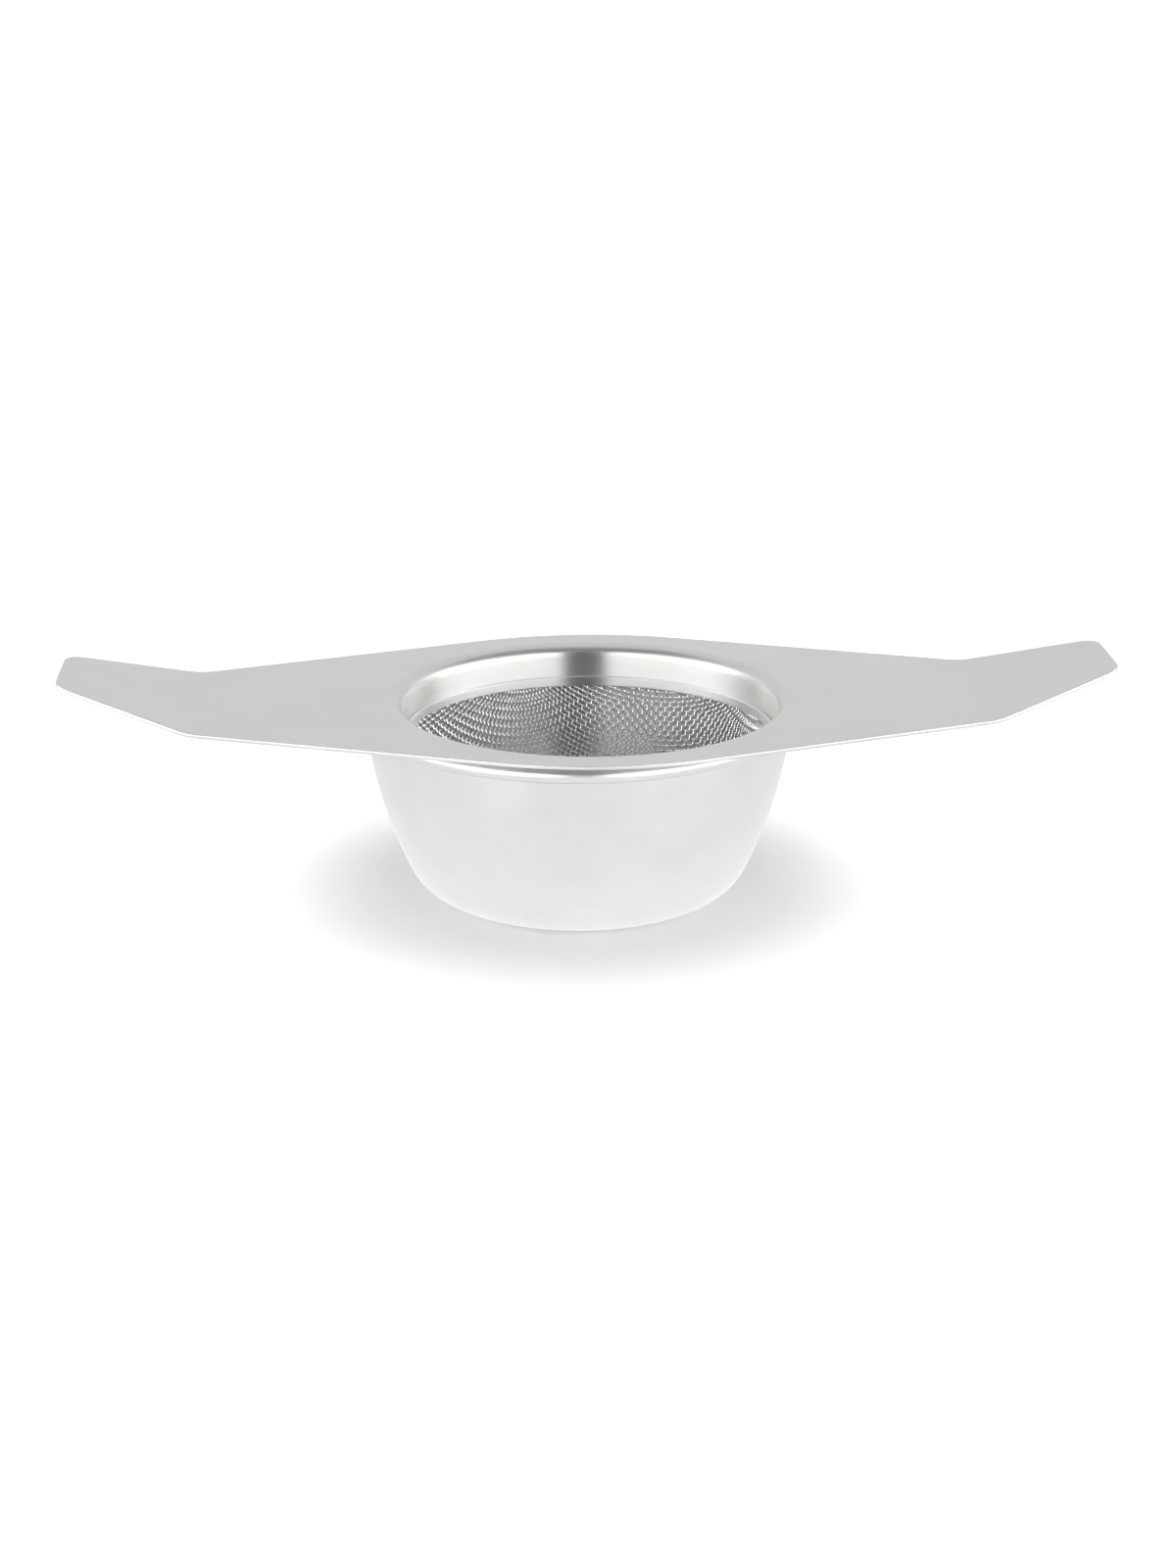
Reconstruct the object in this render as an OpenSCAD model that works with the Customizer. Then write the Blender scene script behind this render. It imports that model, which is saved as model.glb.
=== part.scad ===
// Tea strainer that rests on its own drip bowl.
// The strainer is one stamped sheet with two wings for fingers or for a cup's
// rim, a drawn collar in the middle, and a woven wire basket that a ring grips
// inside the collar. It lifts straight off the bowl.
// Millimetres. +Z is up and X runs along the wings. The origin is the centre
// of the bowl's flat base, on the surface that the bowl stands on.

/* [Drip bowl] */
// height of the bowl, from the base to the crown of the curled rim
bowl_height = 30; // [28:0.5:36]
// outside radius that the wall would reach at the height of the crown
bowl_wall_radius = 33; // [32.8:0.1:36]
// lean of the wall at the rim, away from vertical, in degrees
bowl_rim_lean = 4.3; // [3:0.1:6]
// radius of the wall's own curve, from rim to base
bowl_wall_curve = 73.3; // [65:0.1:90]
// radius of the corner between wall and base
bowl_corner = 8.5; // [6:0.1:10]
// radius of the curl that turns the rim outward
bowl_curl = 1.15; // [1:0.05:1.5]
// thickness of the bowl's sheet
bowl_sheet = 0.6; // [0.5:0.05:0.7]

/* [Strainer plate] */
// length of the strainer, from wing tip to wing tip
plate_length = 161.4; // [150:0.1:180]
// width of the plate across its middle
plate_width = 70.4; // [68:0.1:76]
// radius of the curved edges beside the collar
plate_edge_curve = 46; // [40:1:60]
// angle at which each side narrows towards the wing tips, in degrees
wing_taper = 19.8; // [18:0.1:21]
// width of a wing across its cut end
wing_end_width = 16.9; // [14:0.1:20]
// radius of the corners at the cut ends
wing_corner = 4.3; // [2:0.1:6]
// distance from the middle of the plate to the middle of each upward bend
wing_bend_at = 60.5; // [58:0.5:65]
// angle that the wing tips rise, in degrees
wing_rise = 15.3; // [8:0.1:18]
// radius of the upward bends, on top of the sheet
wing_bend_radius = 12; // [6:1:16]
// thickness of the plate's sheet
plate_sheet = 0.6; // [0.5:0.05:0.7]
// how far the strainer is set down from the bowl's axis, along X
set_down_x = 1.8; // [-1.8:0.1:1.8]
// how far the strainer is set down from the bowl's axis, along Y
set_down_y = 0.5; // [-0.5:0.1:0.5]

/* [Collar and basket] */
// inside radius of the drawn collar, at its lower end
collar_radius = 28.6; // [28:0.1:28.8]
// lean of the collar, which opens upward, away from vertical, in degrees
collar_lean = 2.5; // [1:0.5:5]
// depth of the collar below the top of the plate
collar_depth = 6.7; // [5:0.1:7]
// radius of the rounded lip where the plate turns down into the collar
collar_lip = 2.2; // [1.2:0.1:2.3]
// depth of the wire basket below the top of the plate
basket_depth = 22.6; // [18:0.1:23]
// radius of the corner between the basket's wall and its floor
basket_corner = 10; // [9:0.1:12]
// inside radius of the basket at the fold under its shoulder
basket_fold_radius = 27.6; // [27:0.1:27.9]
// lean of the basket's wall, away from vertical, in degrees
basket_lean = 6; // [4:0.1:10]
// thickness of the woven wire
basket_weave = 0.4; // [0.3:0.05:0.5]
// height of the ring that grips the wire against the collar
ring_height = 1.55; // [1:0.05:2.5]
// thickness of that ring and of its turned-out upper edge
ring_sheet = 0.25; // [0.2:0.05:0.4]

/* [Hidden] */
steel = [0.80, 0.80, 0.79];
wire_steel = [0.72, 0.72, 0.71];
// a hair of air between the curled rim and the plate that rests on it
seat_gap = 0.05;
// air between the ring's turned-out edge and the collar
edge_gap = 0.05;
// how far a cutting or trimming shape runs past what it cuts
through = 1;
// the basket's shoulder starts this far under the collar and ends at the fold
shoulder_start = 0.3;
shoulder_end = 2.1;

// heights
plate_under = bowl_height + seat_gap;
plate_top = plate_under + plate_sheet;
collar_end = plate_top - collar_depth;
basket_floor = plate_top - basket_depth;

// the wall's curve is centred beyond the bowl's axis, above the rim
wall_centre_r = bowl_wall_radius - bowl_wall_curve * cos(bowl_rim_lean);
wall_centre_z = bowl_height + bowl_wall_curve * sin(bowl_rim_lean);
// lean of the wall where it meets the corner, and the base's flat radius
corner_lean = asin((wall_centre_z - bowl_corner) / (bowl_wall_curve - bowl_corner));
base_radius = wall_centre_r + (bowl_wall_curve - bowl_corner) * cos(corner_lean);
// lean of the wall where it meets the curl, and the curl's centre
curl_lean = asin((wall_centre_z - bowl_height + bowl_curl)
                 / (bowl_wall_curve - bowl_sheet + bowl_curl));
curl_centre_r = wall_centre_r + (bowl_wall_curve - bowl_sheet + bowl_curl) * cos(curl_lean);
curl_centre_z = bowl_height - bowl_curl;
// the curl turns this far round, which leaves its end just off the wall
curl_turn = 285;

// plan of the plate: the curved edge runs into a straight taper
edge_centre_y = plate_width / 2 - plate_edge_curve;
taper_start_x = plate_edge_curve * sin(wing_taper);
taper_start_y = edge_centre_y + plate_edge_curve * cos(wing_taper);
bend_half_width = taper_start_y - (wing_bend_at - taper_start_x) * tan(wing_taper);
end_taper = atan((bend_half_width - wing_end_width / 2) / (plate_length / 2 - wing_bend_at));

// the collar's lip starts where the plate stops being flat
lip_centre_z = plate_top - collar_lip;
lip_start = collar_radius + collar_lip * cos(collar_lean)
            + (lip_centre_z + collar_lip * sin(collar_lean) - collar_end) * tan(collar_lean);
// the ring covers the wire's edge with its own turned-out edge
ring_outer = collar_radius - basket_weave;
ring_top = collar_end + ring_height;
wire_top = ring_top - ring_sheet;

// basket: a short shoulder under the ring, a fold, a leaning wall and a corner
shoulder_z = collar_end - shoulder_start;
fold_z = collar_end - shoulder_end;
wall_top_r = basket_fold_radius + basket_weave;
basket_centre_z = basket_floor + basket_corner;
basket_centre_r = wall_top_r - (fold_z - basket_centre_z) * tan(basket_lean)
                  - basket_corner / cos(basket_lean);

// points on an arc about [cx, cy], from one angle to another
function arc(cx, cy, r, from, to, steps) =
    [for (i = [0:steps]) let (a = from + (to - from) * i / steps)
        [cx + r * cos(a), cy + r * sin(a)]];

// the same points in the opposite order
function backwards(points) =
    [for (i = [len(points) - 1:-1:0]) points[i]];

// point at height z that is this far inside the leaning wall of the collar
function in_collar(inset, z) =
    [collar_radius + (z - collar_end) * tan(collar_lean) - inset, z];

// a quarter of the plate's outline, from the middle of its edge to a wing's end
function quarter_outline() = concat(
    arc(0, edge_centre_y, plate_edge_curve, 90, 90 - wing_taper, 8),
    [[wing_bend_at, bend_half_width]],
    arc(plate_length / 2 - wing_corner,
        wing_end_width / 2 - wing_corner * (1 / cos(end_taper) - tan(end_taper)),
        wing_corner, 90 - end_taper, 0, 8));

// one face of the sheet seen from the side, from the middle to a wing's end;
// bend is that face's own radius at the upward bend, and z its flat height
function side_face(z, bend) =
    let (centre_x = wing_bend_at - wing_bend_radius * tan(wing_rise / 2),
         centre_z = plate_top + wing_bend_radius,
         end_x = plate_length / 2 + through)
    concat([[0, z]],
           arc(centre_x, centre_z, bend, -90, wing_rise - 90, 6),
           [[end_x, centre_z - bend * cos(wing_rise)
                    + (end_x - centre_x - bend * sin(wing_rise)) * tan(wing_rise)]]);

module drip_bowl() {
    inner_wall = bowl_wall_curve - bowl_sheet;
    inner_curl = bowl_curl - bowl_sheet;
    color(steel)
    rotate_extrude($fn = 180)
    polygon(concat(
        [[0, 0]],
        arc(base_radius, bowl_corner, bowl_corner, -90, -corner_lean, 12),
        arc(wall_centre_r, wall_centre_z, bowl_wall_curve, -corner_lean, -curl_lean, 14),
        arc(curl_centre_r, curl_centre_z, inner_curl,
            180 - curl_lean, 180 - curl_turn, 16),
        arc(curl_centre_r, curl_centre_z, bowl_curl,
            180 - curl_turn, 180 - curl_lean, 24),
        arc(wall_centre_r, wall_centre_z, inner_wall, -curl_lean, -corner_lean, 14),
        arc(base_radius, bowl_corner, bowl_corner - bowl_sheet, -corner_lean, -90, 12),
        [[0, bowl_sheet]]));
}

module plate_plan() {
    quarter = quarter_outline();
    half = concat(quarter, backwards([for (p = quarter) [p[0], -p[1]]]));
    polygon(concat(half, backwards([for (p = half) [-p[0], p[1]]])));
}

module bent_sheet() {
    top = side_face(plate_top, wing_bend_radius);
    under = side_face(plate_under, wing_bend_radius + plate_sheet);
    for (side = [0, 1])
    mirror([side, 0, 0])
    rotate([90, 0, 0])
    linear_extrude(height = plate_width + through, center = true)
    polygon(concat(top, backwards(under)));
}

module collar() {
    rotate_extrude($fn = 180)
    polygon(concat(
        [[lip_start + through, plate_under], [lip_start + through, plate_top]],
        arc(lip_start, lip_centre_z, collar_lip, 90, 180 - collar_lean, 8),
        [[collar_radius, collar_end],
         [collar_radius + plate_sheet / cos(collar_lean), collar_end]],
        arc(lip_start, lip_centre_z, collar_lip - plate_sheet, 180 - collar_lean, 90, 8)));
}

module strainer_plate() {
    color(steel)
    translate([set_down_x, set_down_y, 0])
    union() {
        difference() {
            intersection() {
                bent_sheet();
                linear_extrude(height = plate_top + plate_length)
                plate_plan();
            }
            translate([0, 0, plate_under - through])
            cylinder(h = plate_sheet + 2 * through, r = lip_start, $fn = 180);
        }
        collar();
    }
}

module mesh_basket() {
    inner_corner = basket_corner - basket_weave;
    color(wire_steel)
    translate([set_down_x, set_down_y, 0])
    rotate_extrude($fn = 180)
    polygon(concat(
        [[0, basket_floor]],
        arc(basket_centre_r, basket_centre_z, basket_corner, -90, -basket_lean, 14),
        [[wall_top_r, fold_z],
         [collar_radius, shoulder_z],
         in_collar(0, collar_end),
         in_collar(0, wire_top),
         in_collar(basket_weave, wire_top),
         in_collar(basket_weave, collar_end),
         [ring_outer, shoulder_z],
         [basket_fold_radius, fold_z]],
        arc(basket_centre_r, basket_centre_z, inner_corner, -basket_lean, -90, 14),
        [[0, basket_floor + basket_weave]]));
}

module mesh_ring() {
    color(steel)
    translate([set_down_x, set_down_y, 0])
    rotate_extrude($fn = 180)
    polygon([in_collar(basket_weave + ring_sheet, collar_end),
             in_collar(basket_weave, collar_end),
             in_collar(basket_weave, wire_top),
             in_collar(edge_gap, wire_top),
             in_collar(edge_gap, ring_top),
             in_collar(basket_weave + ring_sheet, ring_top)]);
}

drip_bowl();
strainer_plate();
mesh_basket();
mesh_ring();
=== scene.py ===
"""Looks of a two-winged steel tea strainer resting on its drip bowl.

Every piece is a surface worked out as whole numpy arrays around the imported
frame: the stamped plate is one closed ring of sheet, the bowl and the gripping
ring are turned profiles, and the basket is real woven wire. Metres throughout.
"""
import math

import bpy
import numpy as np
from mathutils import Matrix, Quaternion, Vector


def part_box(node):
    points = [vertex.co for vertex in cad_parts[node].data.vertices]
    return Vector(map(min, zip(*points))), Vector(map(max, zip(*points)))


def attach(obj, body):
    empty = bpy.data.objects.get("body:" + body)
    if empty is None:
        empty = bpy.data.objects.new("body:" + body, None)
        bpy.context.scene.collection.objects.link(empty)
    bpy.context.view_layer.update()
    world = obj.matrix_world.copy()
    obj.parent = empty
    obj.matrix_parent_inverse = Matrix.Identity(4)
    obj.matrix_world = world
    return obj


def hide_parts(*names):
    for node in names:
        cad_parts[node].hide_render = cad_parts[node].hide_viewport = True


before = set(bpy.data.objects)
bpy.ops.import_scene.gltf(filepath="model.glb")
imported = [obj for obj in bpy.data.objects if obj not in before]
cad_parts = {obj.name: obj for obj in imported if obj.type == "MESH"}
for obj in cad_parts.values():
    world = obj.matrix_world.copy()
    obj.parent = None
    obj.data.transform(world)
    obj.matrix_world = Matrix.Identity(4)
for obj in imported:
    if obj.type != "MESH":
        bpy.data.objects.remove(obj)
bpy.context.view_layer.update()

MM = 0.001

# ---------------------------------------------------------------- from the frame
bowl_low, bowl_high = (np.array(c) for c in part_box("drip_bowl"))
plate_low, plate_high = (np.array(c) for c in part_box("strainer_plate"))
basket_low, basket_high = (np.array(c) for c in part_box("mesh_basket"))

bowl_height = bowl_high[2]
rim_radius = (bowl_high[0] - bowl_low[0]) / 2
strainer_centre = (plate_low + plate_high)[:2] / 2
plate_half_length = (plate_high[0] - plate_low[0]) / 2
plate_half_width = (plate_high[1] - plate_low[1]) / 2
collar_end = plate_low[2]
basket_floor = basket_low[2]
ring_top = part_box("mesh_ring")[1][2]

# ------------------------------------------------- driving sizes of the sheet work
SHEET = 0.6 * MM            # gauge of plate and bowl
SEAT_GAP = 0.05 * MM        # air between the bowl's rim and the plate
EDGE = 0.14 * MM            # rounding of cut edges, from tumbling
PLATE_TOP = bowl_height + SEAT_GAP + SHEET

# drip bowl
WALL_RADIUS = 33 * MM       # outside radius the wall would reach at the rim's height
RIM_LEAN = math.radians(4.3)    # of the wall from upright, at the rim's height
WALL_CURVE = 73.3 * MM      # radius of the wall's arc, seen from the side
BOWL_CORNER = 8.5 * MM      # radius between wall and base
CURL = 1.15 * MM            # radius of the rim's outward curl
CURL_TURN = math.radians(285)

# strainer plate
EDGE_CURVE = 46 * MM        # radius of the edge beside the collar
TAPER = math.radians(19.8)  # of the edge from there to the bend
END_WIDTH = 16.9 * MM
WING_CORNER = 4.3 * MM      # radius of a wing end's corners
BEND_AT = 60.5 * MM         # from the middle to where a wing turns up
RISE = math.radians(15.3)   # how steeply it turns up
BEND_RADIUS = 12 * MM
LIP_POLISH = math.radians(70)   # how far down the lip the collar's polish begins

# collar, ring and basket
COLLAR_RADIUS = 28.6 * MM   # inside, at its lower end
COLLAR_LEAN = math.radians(2.5)     # the wall opens upwards
COLLAR_LIP = 2.2 * MM       # outer radius of the bend from plate to collar
RING_SHEET = 0.25 * MM
EDGE_GAP = 0.05 * MM        # air between the ring's turned-out edge and the collar
WEAVE = 0.4 * MM            # thickness of the woven wire
SHOULDER_DROP = 2.1 * MM    # from the collar's end to the basket's fold
FOLD_RADIUS = 27.6 * MM     # inside radius at the fold
BASKET_LEAN = math.radians(6)
BASKET_CORNER = 10 * MM

# woven wire
PITCH = 0.8 * MM
WIRE = 0.22 * MM
WARP_DIRECTION = math.radians(65)   # how the cloth lay in the press, from +X
WIRE_STEPS = 4              # rings of points from one crossing to the next
WIRE_SIDES = 6
WIRE_SHARES = 3             # pieces that each direction of wires is split into
NORMAL_REACH = 0.6 * MM     # over which the cup's normals are evened out
NEWTON_ROUNDS = 20          # when a crossing of the net is looked for
NEWTON_MOVE = 0.4           # longest move in a round, in pitches
NET_TOLERANCE = 0.01        # largest error of a crossing that is kept, in pitches

# finishes
NOISE_LOW, NOISE_HIGH = 0.3, 0.7    # between which nearly all of a noise lies
NOISE_FALL = 0.55           # how much of each finer layer of a noise is added

# camera and studio
CAMERA_PLACE = (-24.38 * MM, -423.9 * MM, 158.1 * MM)
CAMERA_YAW = math.radians(3.493)
CAMERA_PITCH = math.radians(18.445)
CAMERA_ROLL = math.radians(0.035)
LENS = 66.16                # millimetres, on a 36 mm sensor
SLOT_HALF_ANGLE = math.radians(11)
SLOT_FADE = math.radians(5)
CLOTH_END = math.radians(85)
BACK_START = math.radians(125)
CLOTH_TOP = (0.37, 0.52)    # sines of the elevations where the cloths fade out
OPENING_TOP = (0.90, 0.97)  # and where the roof begins above them
SLOT_LIGHT = 0.05
CLOTH_LIGHT = 5.0
OPENING_LIGHT = 0.2
BACK_LIGHT = 1.0
MATT_SHARE = 0.45           # how much of the tent's light matt surfaces get
BACKDROP_LIGHT = 1.05
FLOOR_RADIUS = 6.0
FLOOR_GLOW = 0.6            # painted glow of the floor, away from the bowl
GLOW_START = 24 * MM        # distances from the bowl's axis over which the painted glow rises, leaving a painted shadow nearer in
GLOW_FULL = 58 * MM


# ------------------------------------------------------------------ mesh building
def mesh_piece(name, points, faces, body, stands_for, materials):
    """A named mesh object made of points and faces that rides on a CAD body."""
    mesh = bpy.data.meshes.new(name)
    mesh.from_pydata(points.reshape(-1, 3).tolist(), [], faces)
    for material in materials:
        mesh.materials.append(material)
    mesh.polygons.foreach_set("use_smooth", np.ones(len(mesh.polygons), bool))
    mesh.update()
    piece = bpy.data.objects.new(name, mesh)
    bpy.context.scene.collection.objects.link(piece)
    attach(piece, body)
    if stands_for:
        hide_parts(stands_for)
    return piece


def grid_faces(rows, columns, close_rows=False, close_columns=False):
    """Quads between neighbouring points of a rows by columns grid.

    Closing a direction joins its last line of points to its first.
    """
    i = np.arange(rows if close_rows else rows - 1)[:, None]
    j = np.arange(columns if close_columns else columns - 1)[None, :]
    next_i = (i + 1) % rows
    next_j = (j + 1) % columns
    quads = np.stack([i * columns + j, i * columns + next_j,
                      next_i * columns + next_j, next_i * columns + j], axis=-1)
    return quads.reshape(-1, 4).tolist()


def arc(centre, radius, start, end, steps):
    """Points on a circle about centre, from the start angle to the end angle."""
    a = np.linspace(start, end, steps)
    return np.stack([centre[0] + radius * np.cos(a), centre[1] + radius * np.sin(a)], axis=1)


def line(start, end, steps):
    """Evenly spaced points on the straight line from start to end."""
    t = np.linspace(0, 1, steps)[:, None]
    return (1 - t) * np.array(start) + t * np.array(end)


def joined(*stretches):
    """Stretches of a profile put end to end, with repeated points left out."""
    profile = np.concatenate(stretches)
    gap = np.hypot(*np.diff(profile, axis=0).T)
    return profile[np.concatenate([[True], gap > 1e-7])]


def revolve(profile, centre, turns=256):
    """A profile of (radius, height) points turned about a vertical axis.

    Point (i, j) is the profile's point i at angle j: x and y are the radius
    times the angle's cosine and sine. A profile that starts and ends on the axis
    gets one point and a fan of triangles at each end; any other is joined up.
    Also returned: for each face, which step of the profile it belongs to.
    """
    a = np.linspace(0, 2 * math.pi, turns, endpoint=False)
    on_axis = profile[0, 0] < 1e-9
    body = profile[1:-1] if on_axis else profile
    points = np.stack([centre[0] + body[:, :1] * np.cos(a),
                       centre[1] + body[:, :1] * np.sin(a),
                       np.repeat(body[:, 1:], turns, axis=1)], axis=-1).reshape(-1, 3)
    faces = grid_faces(len(body), turns, not on_axis, True)
    band = np.repeat(np.arange(len(faces) // turns), turns)
    if on_axis:
        band = np.concatenate([band + 1, np.repeat([0, len(profile) - 2], turns)])
        j = np.arange(turns)
        after = (j + 1) % turns
        last_ring = (len(body) - 1) * turns
        low_pole, high_pole = np.full(turns, len(points)), np.full(turns, len(points) + 1)
        faces += np.stack([j, low_pole, after], axis=1).tolist()
        faces += np.stack([last_ring + after, high_pole, last_ring + j], axis=1).tolist()
        poles = [[centre[0], centre[1], height] for height in profile[[0, -1], 1]]
        points = np.concatenate([points, poles])
    return points, faces, band


# ---------------------------------------------------------------------- drip bowl
def bowl_profile():
    """Outside of the bowl from the base's middle to the curl's end, and back inside.

    The wall is an arc about a point beyond the axis, the corner an arc tangent to
    wall and base, and the curl an arc tangent to the wall's inner face.
    """
    wall = (WALL_RADIUS - WALL_CURVE * math.cos(RIM_LEAN),
            bowl_height + WALL_CURVE * math.sin(RIM_LEAN))
    corner_lean = math.asin((wall[1] - BOWL_CORNER) / (WALL_CURVE - BOWL_CORNER))
    corner = (wall[0] + (WALL_CURVE - BOWL_CORNER) * math.cos(corner_lean), BOWL_CORNER)
    reach = WALL_CURVE - SHEET + CURL
    curl_lean = math.asin((wall[1] - bowl_height + CURL) / reach)
    curl = (rim_radius - CURL, bowl_height - CURL)
    down = -math.pi / 2
    curl_start = math.pi - curl_lean
    curl_end = math.pi - CURL_TURN
    cut = (curl[0] + (CURL - SHEET / 2) * math.cos(curl_end),
           curl[1] + (CURL - SHEET / 2) * math.sin(curl_end))
    return joined(
        line((0, 0), (corner[0], 0), 14),
        arc(corner, BOWL_CORNER, down, -corner_lean, 28),
        arc(wall, WALL_CURVE, -corner_lean, -curl_lean, 44),
        arc(curl, CURL - SHEET, curl_start, curl_end, 24),
        arc(cut, SHEET / 2, curl_end + math.pi, curl_end, 8),
        arc(curl, CURL, curl_end, curl_start, 44),
        arc(wall, WALL_CURVE - SHEET, -curl_lean, -corner_lean, 44),
        arc(corner, BOWL_CORNER - SHEET, -corner_lean, down, 28),
        line((corner[0], SHEET), (0, SHEET), 14))


# ------------------------------------------------------------------ strainer plate
def plate_outline():
    """Edge of the plate seen from above, anticlockwise, with its outward normals.

    One quarter is half of the straight end, a corner arc, a straight taper to the
    bend, a slightly different taper to the middle and a large arc beside the
    collar. The other three quarters are its mirror images.
    """
    centre_y = plate_half_width - EDGE_CURVE
    start = np.array([EDGE_CURVE * math.sin(TAPER), centre_y + EDGE_CURVE * math.cos(TAPER)])
    bend = np.array([BEND_AT, start[1] - (BEND_AT - start[0]) * math.tan(TAPER)])
    tip = plate_half_length - SHEET * math.sin(RISE)
    end_taper = math.atan((bend[1] - END_WIDTH / 2) / (plate_half_length - BEND_AT))
    corner = np.array([tip - WING_CORNER,
                       END_WIDTH / 2 - WING_CORNER * (1 / math.cos(end_taper)
                                                      - math.tan(end_taper))])
    corner_start = corner + WING_CORNER * np.array([math.sin(end_taper), math.cos(end_taper)])
    quarter = np.concatenate([
        line((tip, 0), (tip, corner[1]), 9)[:-1],
        arc(corner, WING_CORNER, 0, math.pi / 2 - end_taper, 13)[:-1],
        line(corner_start, bend, 28)[:-1],
        line(bend, start, 52)[:-1],
        arc((0, centre_y), EDGE_CURVE, math.pi / 2 - TAPER, math.pi / 2, 28)])
    half = np.concatenate([quarter[:-1], quarter[::-1] * (-1, 1)])
    loop = np.concatenate([half[:-1], half[::-1] * (1, -1)])[:-1]
    along = np.roll(loop, -1, axis=0) - np.roll(loop, 1, axis=0)
    along /= np.hypot(*along.T)[:, None]
    return loop, np.stack([along[:, 1], -along[:, 0]], axis=1)


def bent(flat_xy, depth):
    """The point under (x, y) on the plate's top, that far into the sheet.

    The top is flat to the bend, follows an arc of BEND_RADIUS through the rise and
    goes on straight; depth is measured square to it.
    """
    x, y = flat_xy[..., 0], flat_xy[..., 1]
    past_bend = np.abs(x) - (BEND_AT - BEND_RADIUS * math.tan(RISE / 2))
    arc_run = BEND_RADIUS * math.sin(RISE)
    slope = np.arcsin(np.clip(past_bend, 0, arc_run) / BEND_RADIUS)
    straight = np.maximum(past_bend - arc_run, 0)
    rise = BEND_RADIUS * (1 - np.cos(slope)) + straight * math.tan(RISE)
    return np.stack([strainer_centre[0] + x + np.sign(x) * depth * np.sin(slope),
                     strainer_centre[1] + y,
                     PLATE_TOP + rise - depth * np.cos(slope)], axis=-1)


def plate_surface():
    """The whole plate as one ring of sheet: its points, faces and bright faces.

    Each line across runs from the lip over the flat top to the outline, round the
    cut edge, back under the plate, down the outside of the collar, round its end
    and up the inside. Between the lip's circle and the outline a point is the mean
    of the two, weighted by its place on the line. The bright faces are those of
    the collar's inside.
    """
    loop, normal = plate_outline()
    angle = np.arctan2(loop[:, 1], loop[:, 0])
    ray = np.stack([np.cos(angle), np.sin(angle)], axis=1)
    shares = np.concatenate([[0.004, 0.012], np.linspace(0.025, 0.985, 46), [0.994, 1]])

    def flat(depth, place_on_line):
        inner = (ray * lip[0])[:, None]
        outer = (loop - normal * EDGE)[:, None]
        place = place_on_line[None, :, None]
        return bent(inner * (1 - place) + outer * place, depth)

    # the collar's own section: down the outside, round the end, up the inside
    lip = (COLLAR_RADIUS + COLLAR_LIP * math.cos(COLLAR_LEAN)
           + (PLATE_TOP - COLLAR_LIP * (1 - math.sin(COLLAR_LEAN)) - collar_end)
           * math.tan(COLLAR_LEAN), PLATE_TOP - COLLAR_LIP)
    level, steep = math.pi / 2, math.pi - COLLAR_LEAN
    outside_radius = COLLAR_RADIUS + SHEET / math.cos(COLLAR_LEAN)
    end_z = collar_end + EDGE
    outside = arc(lip, COLLAR_LIP - SHEET, level, steep, 12)
    inside = arc(lip, COLLAR_LIP, steep, level + LIP_POLISH, 10)
    upper_lip = arc(lip, COLLAR_LIP, level + LIP_POLISH, level, 12)[1:]
    inner_start = (COLLAR_RADIUS + EDGE * math.tan(COLLAR_LEAN), end_z)
    dull = joined(outside,
                  line(outside[-1], (outside_radius, end_z), 14),
                  arc((outside_radius - EDGE, end_z), EDGE, 0, -level, 5),
                  arc((inner_start[0] + EDGE, end_z), EDGE, -level, -math.pi, 5)[:-1])
    bright = joined(line(inner_start, inside[0], 26), inside)
    section = np.concatenate([dull, bright, upper_lip])
    collar = np.concatenate([
        strainer_centre + section[None, :, :1] * ray[:, None],
        np.broadcast_to(section[None, :, 1:], (len(loop), len(section), 1))], axis=-1)

    turn = np.linspace(0, level, 6)[1:]
    over = np.stack([EDGE * (np.sin(turn) - 1), EDGE * (1 - np.cos(turn))], axis=1)
    under = np.stack([over[::-1, 0], SHEET - over[::-1, 1]], axis=1)
    rim = np.stack([bent(loop + normal * out, deep)
                    for out, deep in np.concatenate([over, under])], axis=1)

    points = np.concatenate([flat(0, shares), rim, flat(SHEET, shares[::-1]), collar], axis=1)
    rows, columns = points.shape[:2]
    column = np.tile(np.arange(columns), rows)
    first = columns - len(bright) - len(upper_lip)
    is_bright = (column >= first) & (column < first + len(bright))
    return points, grid_faces(rows, columns, True, True), is_bright


# ------------------------------------------------------------------- gripping ring
def ring_profile():
    """Section of the ring, anticlockwise: up its outside, over the edge, down its inside.

    The strip leans with the collar. Its upper edge is turned out level, over the cut
    ends of the wires, with a rounded bend; both cut edges are rounded too.
    """
    def wall(inset, height):
        """The point at that height, that far inside the collar's wall."""
        return (COLLAR_RADIUS + (height - collar_end) * math.tan(COLLAR_LEAN) - inset, height)

    half = RING_SHEET / 2
    foot = wall(WEAVE + half, collar_end + half)
    edge = wall(EDGE_GAP + half, ring_top - half)
    bend = wall(WEAVE, ring_top - RING_SHEET)
    return joined(
        arc(foot, half, -math.pi / 2, 0, 6),
        line(wall(WEAVE, collar_end + half), bend, 8)[1:],
        line(bend, (edge[0], ring_top - RING_SHEET), 4)[1:],
        arc(edge, half, -math.pi / 2, math.pi / 2, 9),
        arc(bend, RING_SHEET, math.pi / 2, math.pi - COLLAR_LEAN, 9),
        line(wall(WEAVE + RING_SHEET, ring_top - RING_SHEET),
             wall(WEAVE + RING_SHEET, collar_end + half), 8)[1:],
        arc(foot, half, -math.pi, -math.pi / 2, 6)[:-1])


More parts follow.
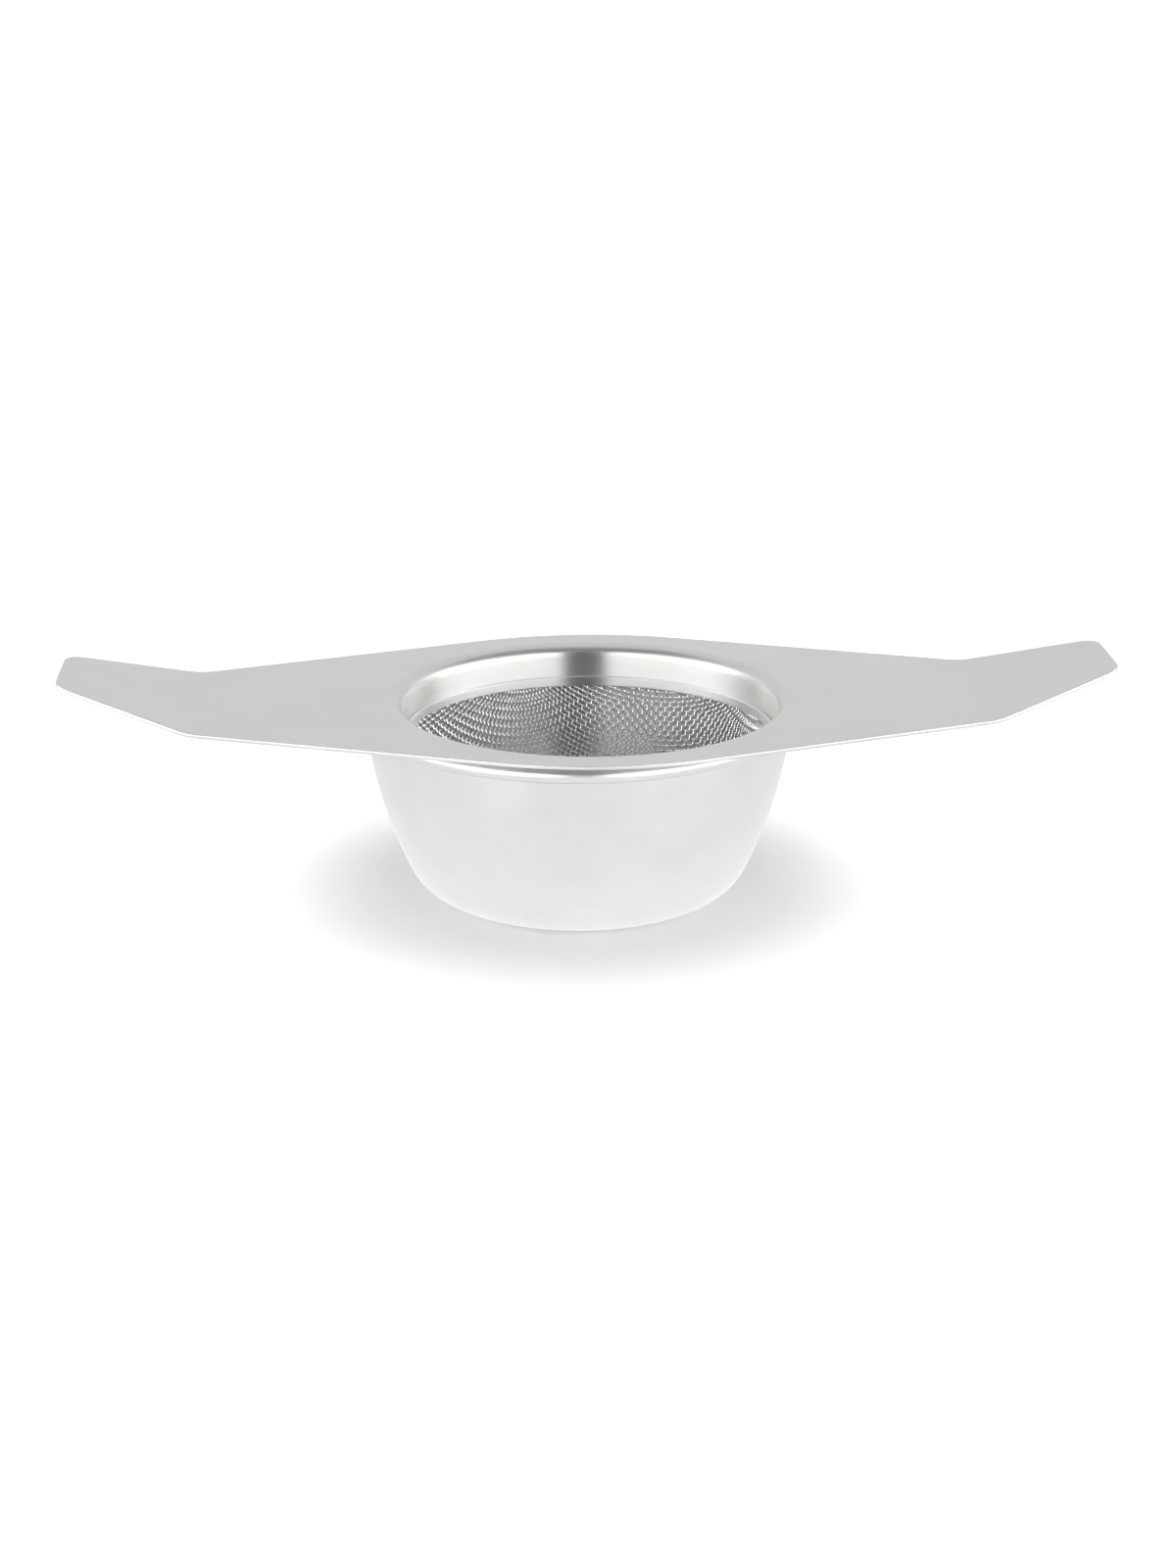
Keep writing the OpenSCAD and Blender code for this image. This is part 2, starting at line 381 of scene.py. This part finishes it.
# ------------------------------------------------------------------- woven basket
def basket_profile():
    """Middle of the woven wire from the floor's centre to its gripped edge."""
    fold = (FOLD_RADIUS + WEAVE / 2, collar_end - SHOULDER_DROP)
    corner_z = basket_floor + BASKET_CORNER
    corner_r = (FOLD_RADIUS + WEAVE - (fold[1] - corner_z) * math.tan(BASKET_LEAN)
                - BASKET_CORNER / math.cos(BASKET_LEAN))
    grip = (COLLAR_RADIUS - WEAVE / 2, collar_end)
    grip_rise = basket_high[2] - WIRE / 2 - collar_end
    return joined(
        [(0, basket_floor + WIRE)],
        arc((corner_r, corner_z), BASKET_CORNER - WIRE, -math.pi / 2, -BASKET_LEAN, 60),
        line(fold, grip, 8),
        [(grip[0] + grip_rise * math.tan(COLLAR_LEAN), collar_end + grip_rise)])


class Cup:
    """The basket's middle surface: a profile turned about the strainer's axis."""

    def __init__(self, profile):
        step = np.hypot(*np.diff(profile, axis=0).T)
        self.length = step.sum()
        # the profile goes on straight past its end, so that edge crossings can be found
        tail = profile[-1] + (profile[-1] - profile[-2]) / step[-1] * self.length
        self.profile = np.concatenate([profile, [tail]])
        self.along = np.concatenate([[0], np.cumsum(step), [2 * self.length]])

    def place(self, s, azimuth):
        """The point at distance s from the centre along the profile, at that azimuth."""
        r = np.interp(s, self.along, self.profile[:, 0])
        z = np.interp(s, self.along, self.profile[:, 1])
        return np.stack([r * np.cos(azimuth), r * np.sin(azimuth), z], axis=-1)

    def inward(self, s, azimuth):
        """The unit normal there on the cup's inside, evened out over a short reach."""
        back, on = np.maximum(s - NORMAL_REACH, 0), s + NORMAL_REACH
        dr = np.interp(on, self.along, self.profile[:, 0]) - np.interp(
            back, self.along, self.profile[:, 0])
        dz = np.interp(on, self.along, self.profile[:, 1]) - np.interp(
            back, self.along, self.profile[:, 1])
        size = np.hypot(dr, dz)
        return np.stack([-dz / size * np.cos(azimuth), -dz / size * np.sin(azimuth),
                         dr / size], axis=-1)


def net_quarter(cup):
    """Crossings of a net of equal meshes pressed onto the cup, for one quarter of it.

    The two straight wires through the floor's centre follow the profile. Crossing
    (i, j) lies one pitch from (i-1, j) and from (i, j-1) on the surface; each
    diagonal of crossings is found at once by Newton's method. Returns distances
    along the profile and azimuths, not-a-number where the cloth was cut away.
    """
    count = int(1.25 * cup.length / PITCH)
    s = np.full((count, count), np.nan)
    azimuth = np.full((count, count), np.nan)
    s[:, 0] = s[0, :] = np.arange(count) * PITCH
    azimuth[:, 0] = 0
    azimuth[0, :] = math.pi / 2
    tiny = 1e-7             # step by which the slopes are found
    for diagonal in range(2, 2 * count - 1):
        i = np.arange(max(1, diagonal - count + 1), min(count, diagonal))
        j = diagonal - i
        left = cup.place(s[i - 1, j], azimuth[i - 1, j])
        below = cup.place(s[i, j - 1], azimuth[i, j - 1])
        corner = cup.place(s[i - 1, j - 1], azimuth[i - 1, j - 1])
        across = left + below - corner
        guess_a = np.arctan2(across[:, 1], across[:, 0])
        guess_s = np.maximum(s[i - 1, j], s[i, j - 1]) + 0.3 * PITCH

        def miss(s_now, a_now):
            here = cup.place(s_now, a_now)
            return (np.linalg.norm(here - left, axis=-1) - PITCH,
                    np.linalg.norm(here - below, axis=-1) - PITCH)

        for _ in range(NEWTON_ROUNDS):
            miss_left, miss_below = miss(guess_s, guess_a)
            left_s, below_s = (np.subtract(miss(guess_s + tiny, guess_a),
                                           (miss_left, miss_below)) / tiny)
            left_a, below_a = (np.subtract(miss(guess_s, guess_a + tiny),
                                           (miss_left, miss_below)) / tiny)
            det = left_s * below_a - left_a * below_s
            det = np.where(np.abs(det) < 1e-12, np.nan, det)
            move_s = (miss_left * below_a - left_a * miss_below) / det
            move_a = (left_s * miss_below - miss_left * below_s) / det
            limit = NEWTON_MOVE * PITCH
            turn_limit = limit / np.maximum(guess_s, PITCH)
            guess_s = guess_s - np.clip(move_s, -limit, limit)
            guess_a = guess_a - np.clip(move_a, -turn_limit, turn_limit)
        error = np.maximum(*np.abs(miss(guess_s, guess_a)))
        good = (error < NET_TOLERANCE * PITCH) & (guess_s < 1.5 * cup.length)
        s[i, j] = np.where(good, guess_s, np.nan)
        azimuth[i, j] = np.where(good, guess_a, np.nan)
    return s, azimuth


def whole_net(cup):
    """All crossings of the cloth: the quarter mirrored about the two straight wires."""
    s, azimuth = net_quarter(cup)
    index = np.arange(1 - len(s), len(s))
    a, b = np.meshgrid(index, index, indexing="ij")
    turned = azimuth[np.abs(a), np.abs(b)]
    turned = np.where(a < 0, math.pi - turned, turned)
    turned = np.where(b < 0, -turned, turned)
    return s[np.abs(a), np.abs(b)], turned + WARP_DIRECTION


def wire_tube(cup, s, azimuth, number, lift):
    """One woven wire as a closed hexagonal tube: its points and faces, or None.

    The wire runs straight from crossing to crossing and weaves by a cosine of half
    its own thickness, over one wire and under the next; lift is 1 or -1. It is cut
    where it reaches the gripped edge.
    """
    middle = len(s) // 2
    kept = np.isfinite(s) & (s <= cup.length)
    if not kept[middle]:
        return None
    stops = np.flatnonzero(~kept)
    first = stops[stops < middle].max(initial=-1) + 1
    last = stops[stops > middle].min(initial=len(s)) - 1
    if last - first < 2:
        return None
    crossing = np.arange(first, last + 1)
    t = np.linspace(first, last, (last - first) * WIRE_STEPS + 1)
    where = cup.place(s[crossing], azimuth[crossing])
    up = cup.inward(s[crossing], azimuth[crossing])
    where, up = (np.stack([np.interp(t, crossing, v[:, k]) for k in range(3)], axis=1)
                 for v in (where, up))
    up /= np.linalg.norm(up, axis=1)[:, None]
    where = where + up * (lift * WIRE / 2 * np.cos(math.pi * (t + number)))[:, None]
    where[:, :2] += strainer_centre
    tangent = np.gradient(where, axis=0)
    side = np.cross(tangent, up)
    side /= np.linalg.norm(side, axis=1)[:, None]
    square = np.cross(side, tangent)
    square /= np.linalg.norm(square, axis=1)[:, None]
    a = np.linspace(0, 2 * math.pi, WIRE_SIDES, endpoint=False)[None, :, None]
    points = where[:, None] + WIRE / 2 * (np.cos(a) * square[:, None] + np.sin(a) * side[:, None])
    ends = np.arange(WIRE_SIDES)
    faces = grid_faces(len(t), WIRE_SIDES, False, True)
    faces += [ends[::-1].tolist(), ((len(t) - 1) * WIRE_SIDES + ends).tolist()]
    return points.reshape(-1, 3), faces


def wire_share(cup, s, azimuth, share, lift):
    """Every WIRE_SHARES-th wire of one direction, as one set of points and faces."""
    all_points, all_faces, used = [], [], 0
    for number in range(share, len(s), WIRE_SHARES):
        tube = wire_tube(cup, s[number], azimuth[number], number, lift)
        if tube is not None:
            all_points.append(tube[0])
            all_faces += [[corner + used for corner in face] for face in tube[1]]
            used += len(tube[0])
    return np.concatenate(all_points), all_faces


# ----------------------------------------------------------------------- materials
def linear(hex_colour):
    """Linear RGBA of an sRGB hex colour: each part through the sRGB curve."""
    parts = np.array([int(hex_colour[k:k + 2], 16) / 255 for k in (1, 3, 5)])
    parts = np.where(parts <= 0.04045, parts / 12.92, ((parts + 0.055) / 1.055) ** 2.4)
    return (*parts, 1.0)


def add_node(tree, kind, settings=None, **inputs):
    """Adds a node, sets its properties, and links or sets the named inputs.

    An input is given by its name with _ for each space, or as _3 for number 3.
    """
    node = tree.nodes.new(kind)
    for key, value in (settings or {}).items():
        setattr(node, key, value)
    for key, value in inputs.items():
        number = key[1:]
        socket = node.inputs[int(number) if number.isdigit() else key.replace("_", " ")]
        if isinstance(value, bpy.types.NodeSocket):
            tree.links.new(value, socket)
        else:
            socket.default_value = value
    return node


def steel(name, greys, mottle, marks, roughness, rubbed, relief, pull=0.0):
    """Bare stainless steel with a mottle and fine marks, as a material.

    Mottle and marks are each a noise, given as its grain in metres, its stretch along
    X, Y and Z and its detail. The mottle mixes the two greys; with a single grey it is
    left out. The marks are raised by the relief. Either the mottle, where it rubbed
    the steel, or the marks carry the roughness between its two values. Marks that
    run round Z pull each reflection out across them, by 0 to 1.
    """
    material = bpy.data.materials.new(name)
    material.use_nodes = True
    tree = material.node_tree
    shader = tree.nodes["Principled BSDF"]
    shader.inputs["Base Color"].default_value = linear(greys[-1])
    shader.inputs["Metallic"].default_value = 1.0
    place = add_node(tree, "ShaderNodeTexCoord").outputs["Object"]
    made = {}
    for part, pattern in (("mottle", mottle), ("marks", marks)):
        if pattern:
            grain, stretch, detail = pattern
            scaled = add_node(tree, "ShaderNodeVectorMath", {"operation": "DIVIDE"},
                              _0=place, _1=tuple(grain * k for k in stretch))
            made[part] = add_node(tree, "ShaderNodeTexNoise", Vector=scaled.outputs[0],
                                  Scale=1.0, Detail=detail,
                                  Roughness=NOISE_FALL).outputs["Fac"]
    if mottle:
        share = add_node(tree, "ShaderNodeMapRange", Value=made["mottle"],
                         From_Min=NOISE_LOW, From_Max=NOISE_HIGH)
        colour = add_node(tree, "ShaderNodeMix", {"data_type": "RGBA"},
                          _0=share.outputs["Result"],
                          _6=linear(greys[0]), _7=linear(greys[1]))
        tree.links.new(colour.outputs[2], shader.inputs["Base Color"])
    rough = add_node(tree, "ShaderNodeMapRange", Value=made["mottle" if rubbed else "marks"],
                     From_Min=NOISE_LOW, From_Max=NOISE_HIGH,
                     To_Min=roughness[0], To_Max=roughness[1])
    tree.links.new(rough.outputs["Result"], shader.inputs["Roughness"])
    strength, height = relief
    bump = add_node(tree, "ShaderNodeBump", Strength=strength, Distance=height,
                    Height=made["marks"])
    tree.links.new(bump.outputs["Normal"], shader.inputs["Normal"])
    if pull:
        shader.inputs["Anisotropic"].default_value = pull
        shader.inputs["Anisotropic Rotation"].default_value = 0.25      # across the marks
        tangent = add_node(tree, "ShaderNodeTangent", {"direction_type": "RADIAL", "axis": "Z"})
        tree.links.new(tangent.outputs[0], shader.inputs["Tangent"])
    return material


def satin_sheet():
    """Stainless sheet, fine satin from the mill's rolls: even grey with a faint mottle
    where the tumbling media rubbed it, and a soft reflection."""
    # the rolls' grain runs along the wings; a real one is about 0.05 mm wide, and it is
    # drawn coarser so that it shows
    return steel("satin_stainless_sheet", ("#C2C2C1", "#C9C9C8"),
                 mottle=(9 * MM, (1.6, 1, 1), 4.0), marks=(0.35 * MM, (14, 1, 1), 2.0),
                 roughness=(0.33, 0.39), rubbed=True, relief=(0.10, 0.02 * MM))


def spun_bowl(name, dark, light):
    """Pressed stainless bowl with a turned satin finish: hair-fine rings round the
    bowl that draw each reflection out up and down the wall."""
    # real rings are about 0.1 mm apart, and are drawn coarser so that they show
    return steel(name, (dark, light),
                 mottle=(11 * MM, (1, 1, 1), 4.0), marks=(0.30 * MM, (60, 60, 1), 2.0),
                 roughness=(0.31, 0.36), rubbed=True, relief=(0.06, 0.02 * MM), pull=0.3)


def drawn_collar():
    """The collar's wall, burnished bright by the punch, with drawing marks that run
    round it and stretch its reflections upright."""
    return steel("burnished_drawn_collar", ("#E6E6E4",),
                 mottle=None, marks=(0.22 * MM, (40, 40, 1), 3.0),
                 roughness=(0.35, 0.41), rubbed=False, relief=(0.05, 0.02 * MM), pull=1.0)


def bright_ring():
    """Polished strip bent into the gripping ring, shiny along its length, with fine
    marks round it from the rollers."""
    return steel("polished_ring_strip", ("#E0E0DE",),
                 mottle=None, marks=(0.18 * MM, (30, 30, 1), 3.0),
                 roughness=(0.37, 0.43), rubbed=False, relief=(0.05, 0.02 * MM), pull=1.0)


def drawn_wire():
    """Bright drawn stainless wire: shiny, with fine die marks and a slight tarnish
    that differs from place to place."""
    return steel("bright_drawn_wire", ("#E2E2E0", "#EEEEEC"),
                 mottle=(3 * MM, (1, 1, 1), 3.0), marks=(0.06 * MM, (1, 1, 1), 1.0),
                 roughness=(0.14, 0.22), rubbed=False, relief=(0.05, 0.01 * MM))


def pale_floor():
    """Matt white acrylic table with a painted glow. The glow is full away from the bowl, so that
    the table stays clean white out under the wings where their shadows would fall. It fades to
    nothing close round the bowl, which paints the shadow at the bowl's foot.
    Mirror images of it get the full glow everywhere, a painted reflection without that shadow,
    which stands in for a lamp beside it."""
    material = bpy.data.materials.new("white_acrylic_table_painted_glow")
    material.use_nodes = True
    tree = material.node_tree
    shader = tree.nodes["Principled BSDF"]
    shader.inputs["Base Color"].default_value = linear("#EDEDED")
    shader.inputs["Roughness"].default_value = 0.9
    shader.inputs["Specular IOR Level"].default_value = 0.1
    shader.inputs["Emission Color"].default_value = (1, 1, 1, 1)
    place = add_node(tree, "ShaderNodeTexCoord").outputs["Object"]
    distance = add_node(tree, "ShaderNodeVectorMath", {"operation": "LENGTH"}, _0=place)
    # the glow fades out towards the bowl: painted shadow round its foot, and painted light that
    # fills the wings' shadows further out
    glow = add_node(tree, "ShaderNodeMapRange", {"interpolation_type": "SMOOTHSTEP"},
                    Value=distance.outputs["Value"], From_Min=GLOW_START,
                    From_Max=GLOW_FULL, To_Min=0, To_Max=FLOOR_GLOW)
    # glossy rays see the full glow even near the bowl: a painted reflection of the floor without
    # its shadow
    mirrored = add_node(tree, "ShaderNodeLightPath").outputs["Is Glossy Ray"]
    seen = add_node(tree, "ShaderNodeMix", {"data_type": "FLOAT"}, _0=mirrored,
                    _2=glow.outputs["Result"], _3=FLOOR_GLOW)
    tree.links.new(seen.outputs[0], shader.inputs["Emission Strength"])
    return material


# -------------------------------------------------------------------------- studio
def make_camera():
    """The camera, aimed from its azimuth and elevation, with its small roll."""
    data = bpy.data.cameras.new("camera")
    data.lens = LENS
    data.sensor_width = 36
    data.clip_start = 0.01
    data.clip_end = 100
    camera = bpy.data.objects.new("camera", data)
    bpy.context.scene.collection.objects.link(camera)
    aim = Vector((math.sin(CAMERA_YAW) * math.cos(CAMERA_PITCH),
                  math.cos(CAMERA_YAW) * math.cos(CAMERA_PITCH),
                  -math.sin(CAMERA_PITCH)))
    turn = aim.to_track_quat("-Z", "Y") @ Quaternion((0, 0, 1), CAMERA_ROLL)
    camera.rotation_mode = "QUATERNION"
    camera.rotation_quaternion = turn
    camera.location = CAMERA_PLACE
    bpy.context.scene.camera = camera


def make_studio():
    """A white light tent as the world: plain white back and roof, a low bright cloth
    on either side of the camera, an unlit opening over them, and a dim slot between
    them where the camera looks in. The camera itself sees plain white behind the
    object, and matt surfaces get a smaller share."""
    world = bpy.data.worlds.new("light_tent")
    bpy.context.scene.world = world
    world.use_nodes = True
    tree = world.node_tree
    tree.nodes.clear()
    direction = add_node(tree, "ShaderNodeTexCoord").outputs["Generated"]
    parts = add_node(tree, "ShaderNodeSeparateXYZ", Vector=direction).outputs
    aside = add_node(tree, "ShaderNodeMath", {"operation": "ABSOLUTE"}, _0=parts["X"])
    front = add_node(tree, "ShaderNodeMath", {"operation": "MULTIPLY"}, _0=parts["Y"], _1=-1.0)
    # angle round the object from straight in front, where the camera stands
    angle = add_node(tree, "ShaderNodeMath", {"operation": "ARCTAN2"},
                     _0=aside.outputs[0], _1=front.outputs[0]).outputs[0]

    smooth = {"interpolation_type": "SMOOTHSTEP"}
    cloth = add_node(tree, "ShaderNodeMapRange", smooth, Value=parts["Z"],
                     From_Min=CLOTH_TOP[0], From_Max=CLOTH_TOP[1],
                     To_Min=CLOTH_LIGHT, To_Max=OPENING_LIGHT).outputs["Result"]
    # each of these goes from 0 to 1 as the direction passes that part of the tent
    past_slot, past_cloth, past_opening = (
        add_node(tree, "ShaderNodeMapRange", smooth, Value=value,
                 From_Min=start, From_Max=end).outputs["Result"]
        for value, start, end in ((angle, SLOT_HALF_ANGLE, SLOT_HALF_ANGLE + SLOT_FADE),
                                  (angle, CLOTH_END, BACK_START),
                                  (parts["Z"], *OPENING_TOP)))

    plain = {"data_type": "FLOAT"}
    beside_slot = add_node(tree, "ShaderNodeMix", plain,
                           _0=past_slot, _2=SLOT_LIGHT, _3=cloth).outputs[0]
    front_side = add_node(tree, "ShaderNodeMix", plain,
                          _0=past_opening, _2=beside_slot, _3=BACK_LIGHT).outputs[0]
    tent = add_node(tree, "ShaderNodeMix", plain,
                    _0=past_cloth, _2=front_side, _3=BACK_LIGHT).outputs[0]
    path = add_node(tree, "ShaderNodeLightPath").outputs
    share = add_node(tree, "ShaderNodeMix", plain,
                     _0=path["Is Diffuse Ray"], _2=1.0, _3=MATT_SHARE).outputs[0]
    given = add_node(tree, "ShaderNodeMath", {"operation": "MULTIPLY"}, _0=tent, _1=share)
    light = add_node(tree, "ShaderNodeMix", plain, _0=path["Is Camera Ray"],
                     _2=given.outputs[0], _3=BACKDROP_LIGHT).outputs[0]
    surface = add_node(tree, "ShaderNodeBackground", Color=(1, 1, 1, 1), Strength=light)
    output = add_node(tree, "ShaderNodeOutputWorld")
    tree.links.new(surface.outputs[0], output.inputs["Surface"])


def make_floor():
    """A wide disc on which the bowl stands: a circle of points and its centre."""
    a = np.linspace(0, 2 * math.pi, 96, endpoint=False)
    circle = np.stack([FLOOR_RADIUS * np.cos(a), FLOOR_RADIUS * np.sin(a), 0 * a], axis=1)
    mesh = bpy.data.meshes.new("floor")
    mesh.from_pydata(circle.tolist(), [], [list(range(len(a)))])
    mesh.materials.append(pale_floor())
    floor = bpy.data.objects.new("floor", mesh)
    bpy.context.scene.collection.objects.link(floor)


# ------------------------------------------------------------------------ assembly
def make_bowl():
    """The drip bowl, turned about its own axis."""
    profile = bowl_profile()
    points, faces, band = revolve(profile, (0, 0))
    # the inside's darker greys are painted shade for the hollow under the basket, seen through
    # the wire
    piece = mesh_piece("pressed_bowl", points, faces, "bowl", "drip_bowl",
                       [spun_bowl("turned_stainless_bowl", "#CACAC9", "#D0D0CF"),
                        spun_bowl("bowl_inside_painted_shade", "#A4A4A2", "#ACACAA")])
    # the inside, painted darker as shade under the basket, is what lies past the crown of the
    # curl, on the profile's way back
    inside = band >= np.argmax(profile[:, 1])
    piece.data.polygons.foreach_set("material_index", inside.astype(np.int32))


def make_plate():
    """The stamped plate with its collar, satin all over but for the collar's inside."""
    points, faces, bright = plate_surface()
    piece = mesh_piece("stamped_plate", points, faces, "strainer", "strainer_plate",
                       [satin_sheet(), drawn_collar()])
    piece.data.polygons.foreach_set("material_index", bright.astype(np.int32))


def make_ring():
    """The ring that grips the wire's edge."""
    points, faces, _ = revolve(ring_profile(), strainer_centre)
    mesh_piece("gripping_ring", points, faces, "strainer", "mesh_ring",
               [bright_ring()])


def make_basket():
    """The woven basket: warp and weft, each in WIRE_SHARES pieces of every third wire."""
    cup = Cup(basket_profile())
    s, azimuth = whole_net(cup)
    wire = drawn_wire()
    for direction, lift, s_rows, azimuth_rows in (("warp", 1, s, azimuth),
                                                  ("weft", -1, s.T, azimuth.T)):
        for share in range(WIRE_SHARES):
            points, faces = wire_share(cup, s_rows, azimuth_rows, share, lift)
            stands_for = "mesh_basket" if direction == "warp" and share == 0 else None
            mesh_piece(f"{direction}_wires_{share + 1}", points, faces, "strainer",
                       stands_for, [wire])


make_bowl()
make_plate()
make_ring()
make_basket()
make_floor()
make_studio()
make_camera()
bpy.context.scene.view_settings.view_transform = "Standard"
